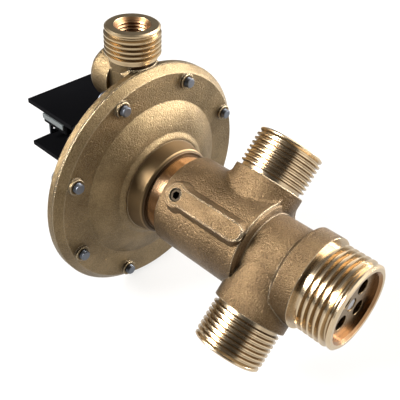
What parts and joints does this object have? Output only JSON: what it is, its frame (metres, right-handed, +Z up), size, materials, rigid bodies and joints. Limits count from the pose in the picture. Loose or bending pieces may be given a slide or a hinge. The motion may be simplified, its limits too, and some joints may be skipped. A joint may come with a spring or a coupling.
{
  "type": "three-way diverter valve",
  "caption": "Cast bronze three-way diverter valve with a diaphragm head, a small connection on top and a switch bracket behind",
  "frame": {"origin": "centre of the end port's face", "axes": "+X out of the end port along the valve, +Z up along the rear cover's small connection, +Y away from the bracket's open side"},
  "size_m": [0.147, 0.096, 0.1102],
  "materials": {
    "cast_bronze": "sand cast, matt grain with a dull sheen",
    "machined_brass": "turned, bright",
    "steel": "bright turned stainless",
    "zinc_steel": "zinc plated",
    "rubber": "matt black",
    "spring_steel": "drawn wire",
    "black_plastic": "moulded, slight sheen",
    "grey_plastic": "moulded",
    "cream_plastic": "moulded"
  },
  "bodies": {
    "body": {"valve_body": "cast_bronze", "grub_screw": "steel", "seat_insert": "machined_brass"},
    "head": {"front_cover": "cast_bronze", "rear_cover": "cast_bronze", "cover_screws": "zinc_steel", "diaphragm": "rubber", "return_spring": "spring_steel", "neck_seal": "rubber", "neck_bush": "machined_brass", "neck_bush_seal": "rubber", "bush_clip": "steel", "gland_seal": "rubber", "gland_nut": "machined_brass", "stub_plug": "black_plastic", "switch_bracket": "black_plastic", "bracket_screws": "zinc_steel", "switch_body": "black_plastic", "switch_lid": "grey_plastic", "switch_terminals": "zinc_steel", "lever_pin": "steel"},
    "rod": {"spindle": "steel", "shutter_carrier": "machined_brass", "shutter_pad_front": "rubber", "shutter_pad_rear": "rubber", "shutter_clips": "steel", "front_plate": "machined_brass", "rear_plate": "machined_brass", "plate_nut": "steel"},
    "lever": {"switch_lever": "grey_plastic"},
    "plunger": {"switch_plunger": "cream_plastic"}
  },
  "joints": [
    {"name": "head_swivel", "type": "hinge", "parent": "body", "child": "head", "pos_m": [-0.071, 0, 0], "axis": [1, 0, 0], "continuous": true},
    {"name": "spindle_slide", "type": "slide", "parent": "head", "child": "rod", "axis": [-1, 0, 0], "range_m": [0, 0.0062], "deforming": ["diaphragm", "return_spring"]},
    {"name": "lever_swing", "type": "hinge", "parent": "head", "child": "lever", "pos_m": [-0.1224, 0, 0.0206], "axis": [0, 1, 0], "range_deg": [0, 17.3]},
    {"name": "plunger_press", "type": "slide", "parent": "head", "child": "plunger", "axis": [-1, 0, 0], "range_m": [0, 0.0009]}
  ],
  "couplings": [
    {"joint": "lever_swing", "follows": "spindle_slide", "rad_per_m": 48.54},
    {"joint": "plunger_press", "follows": "spindle_slide", "ratio": 0.1452}
  ]
}
